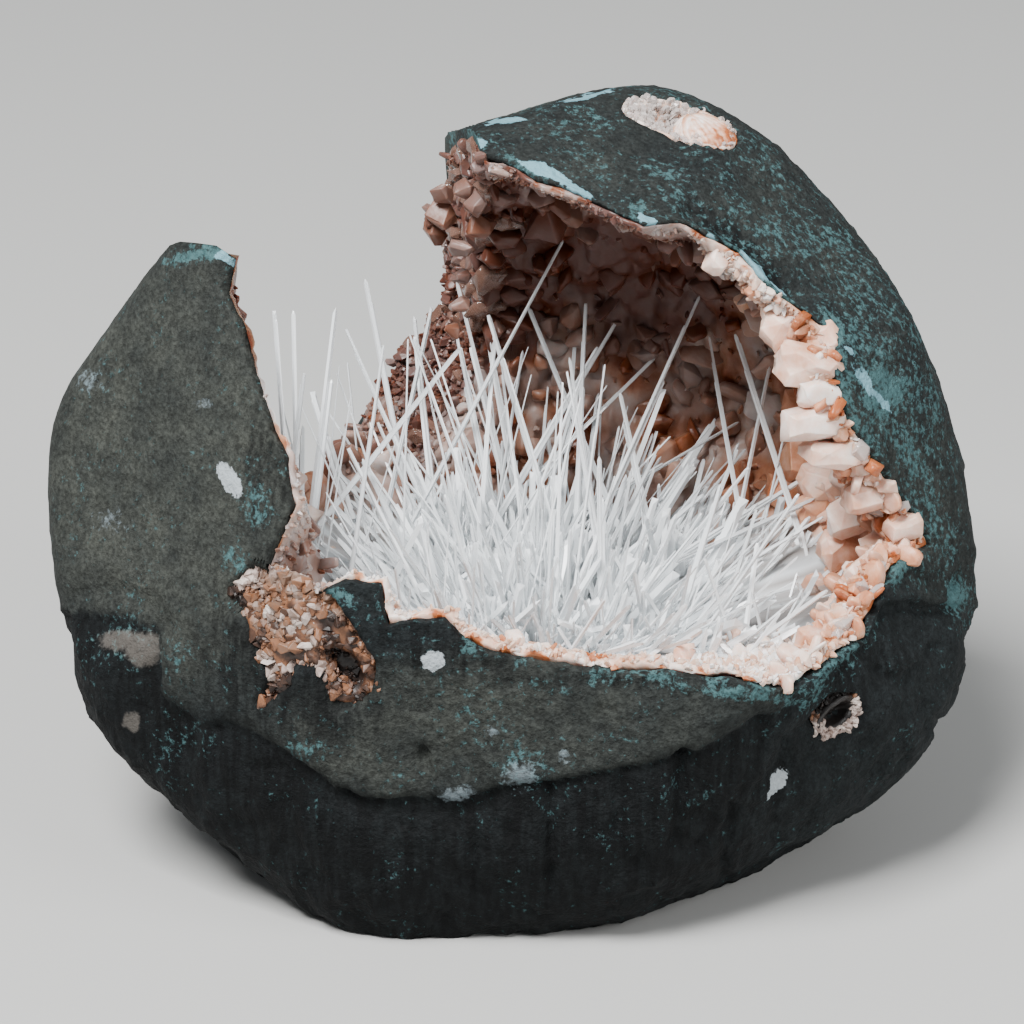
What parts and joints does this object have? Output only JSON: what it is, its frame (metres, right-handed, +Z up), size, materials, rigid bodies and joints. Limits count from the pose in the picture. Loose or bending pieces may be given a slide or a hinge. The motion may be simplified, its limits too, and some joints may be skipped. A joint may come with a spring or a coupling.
{
  "type": "scolecite geode",
  "caption": "Hollow basalt nodule, broken open, lined with peach stilbite crystals and holding an upright spray of white scolecite needles.",
  "frame": {"origin": "on the surface it stands on, under the middle of its box", "axes": "+Z up, -Y to the front, where the hollow opens, and +X to the right as seen from the front"},
  "size_m": [0.111, 0.0814, 0.0869],
  "materials": {
    "basalt": "matte, with blue-green celadonite",
    "stilbite": "satin, slightly clear",
    "scolecite": "glassy, clear to white",
    "vein_filling": "rough, brown and white"
  },
  "bodies": {
    "root": {"basalt_shell": "basalt", "stilbite_crust": "stilbite", "scolecite_spray": "scolecite", "top_vug": "stilbite", "left_vein": "vein_filling", "right_pocket": "vein_filling"}
  },
  "joints": []
}
